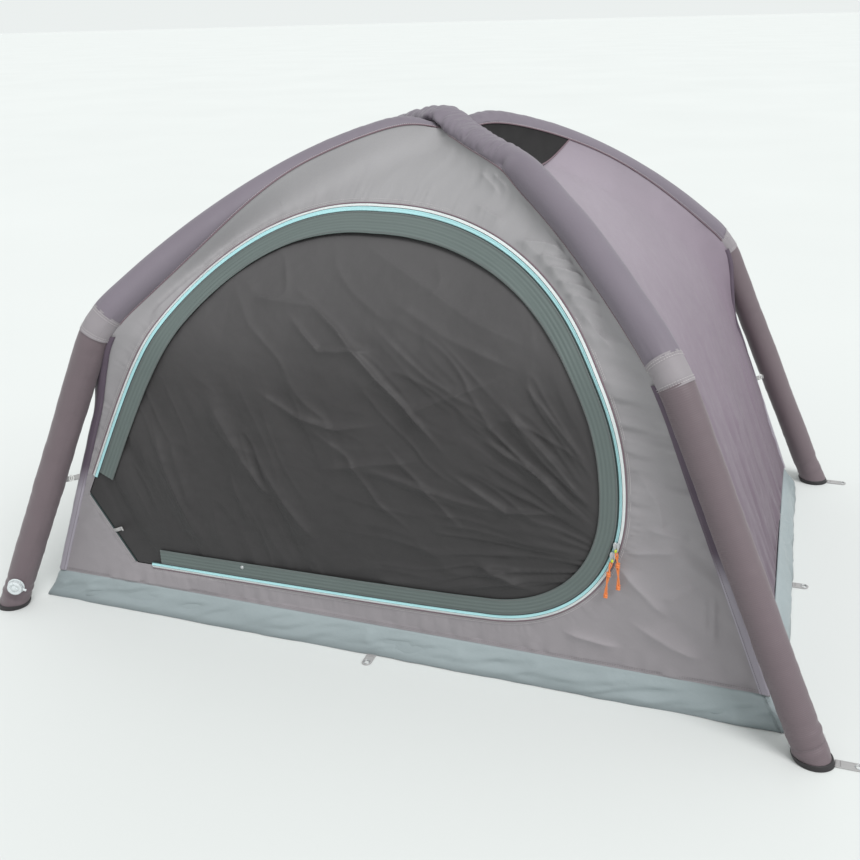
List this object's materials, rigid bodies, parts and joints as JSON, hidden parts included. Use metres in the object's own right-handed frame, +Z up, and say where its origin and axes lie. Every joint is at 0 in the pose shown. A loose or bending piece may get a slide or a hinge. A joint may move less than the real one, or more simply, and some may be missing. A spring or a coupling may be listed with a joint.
{
  "type": "inflatable dome tent",
  "caption": "Two-person dome tent held up by crossing air beams, with a zipped D-shaped door, roof vents and a tub groundsheet.",
  "frame": {"origin": "on the ground, under the crossing of the beams", "axes": "+Z up, -Y out of the doorway, +X along the long side, to the right when facing the doorway"},
  "size_m": [2.442, 1.6482, 1.3413],
  "materials": {
    "sleeve": "satin ripstop, dark purple grey",
    "leg": "fine ribbed weave, taupe",
    "cuff": "satin woven, light grey",
    "bladder": "clear film, semi-gloss",
    "panel": "light grey coated polyester",
    "side_panel": "mauve grey coated polyester",
    "strip": "dark purple coated polyester",
    "door": "charcoal uncoated polyester",
    "zip": "pale coil zip",
    "guard": "ribbed grosgrain tape",
    "mesh": "fine insect mesh",
    "tub": "coated oxford, grey teal",
    "webbing": "woven webbing",
    "trim": "coated reinforcement, near black",
    "valve": "moulded, translucent white",
    "slider": "plated die cast",
    "cord": "braided cord, orange"
  },
  "bodies": {
    "tent": {"air_beam_main": "bladder", "air_beam_cross": "bladder", "sleeve_main": "sleeve", "sleeve_front_left": "sleeve", "sleeve_rear_right": "sleeve", "knee_cuff_front_right": "cuff", "leg_cover_front_right": "leg", "foot_cap_front_right": "trim", "corner_strip_front_right": "strip", "leg_tie_front_right": "webbing", "foot_peg_loop_front_right": "webbing", "knee_cuff_rear_left": "cuff", "leg_cover_rear_left": "leg", "foot_cap_rear_left": "trim", "corner_strip_rear_left": "strip", "leg_tie_rear_left": "webbing", "foot_peg_loop_rear_left": "webbing", "knee_cuff_front_left": "cuff", "leg_cover_front_left": "leg", "foot_cap_front_left": "trim", "corner_strip_front_left": "strip", "leg_tie_front_left": "webbing", "foot_peg_loop_front_left": "webbing", "knee_cuff_rear_right": "cuff", "leg_cover_rear_right": "leg", "foot_cap_rear_right": "trim", "corner_strip_rear_right": "strip", "leg_tie_rear_right": "webbing", "foot_peg_loop_rear_right": "webbing", "side_panel_right": "side_panel", "roof_vent_right": "mesh", "side_panel_left": "side_panel", "roof_vent_left": "mesh", "front_panel": "panel", "rear_panel": "panel", "zip_tape_tent": "zip", "hinge_seam": "panel", "groundsheet": "tub", "floor_peg_loop_front": "webbing", "floor_peg_loop_right": "webbing", "floor_peg_loop_rear": "webbing", "floor_peg_loop_left": "webbing", "valve_body_front_left": "valve", "valve_body_rear_left": "valve"},
    "door": {"door_panel": "door", "zip_tape_door": "zip", "door_guard_tape": "guard", "tie_back_tab": "webbing"},
    "slider_upper": {"zip_slider_upper": "slider"},
    "slider_lower": {"zip_slider_lower": "slider"},
    "pull_upper": {"zip_pull_upper": "cord"},
    "pull_lower": {"zip_pull_lower": "cord"},
    "cap_front_left": {"valve_cap_front_left": "valve"},
    "cap_rear_left": {"valve_cap_rear_left": "valve"}
  },
  "joints": [
    {"name": "door_swing", "type": "hinge", "parent": "tent", "child": "door", "pos_m": [-0.79, -0.6775, 0.252], "axis": [0.5315, 0, -0.8471], "range_deg": [0, 45]},
    {"name": "slider_upper_travel", "type": "hinge", "parent": "door", "child": "slider_upper", "pos_m": [-0.0228, -0.678, 0.5168], "axis": [0, -1, 0], "range_deg": [0, 24]},
    {"name": "slider_lower_travel", "type": "hinge", "parent": "door", "child": "slider_lower", "pos_m": [0.3301, -0.678, 0.4756], "axis": [-0.0032, -0.9999, 0.0131], "range_deg": [-58, 0]},
    {"name": "pull_upper_swing", "type": "hinge", "parent": "slider_upper", "child": "pull_upper", "pos_m": [0.632, -0.6854, 0.4055], "axis": [0, -1, 0], "range_deg": [-30, 30]},
    {"name": "pull_lower_swing", "type": "hinge", "parent": "slider_lower", "child": "pull_lower", "pos_m": [0.6208, -0.6857, 0.381], "axis": [-0.0032, -0.9999, 0.0131], "range_deg": [-30, 60]},
    {"name": "cap_front_left_swing", "type": "hinge", "parent": "tent", "child": "cap_front_left", "pos_m": [-1.0341, -0.7973, 0.0742], "axis": [0.4039, 0.0918, 0.9102], "range_deg": [0, 100]},
    {"name": "cap_rear_left_swing", "type": "hinge", "parent": "tent", "child": "cap_rear_left", "pos_m": [-1.1095, 0.797, 0.1077], "axis": [0.4039, -0.0918, 0.9102], "range_deg": [0, 100]}
  ],
  "couplings": [
    {"joint": "pull_upper_swing", "follows": "slider_upper_travel", "ratio": -1},
    {"joint": "pull_lower_swing", "follows": "slider_lower_travel", "ratio": -1}
  ]
}
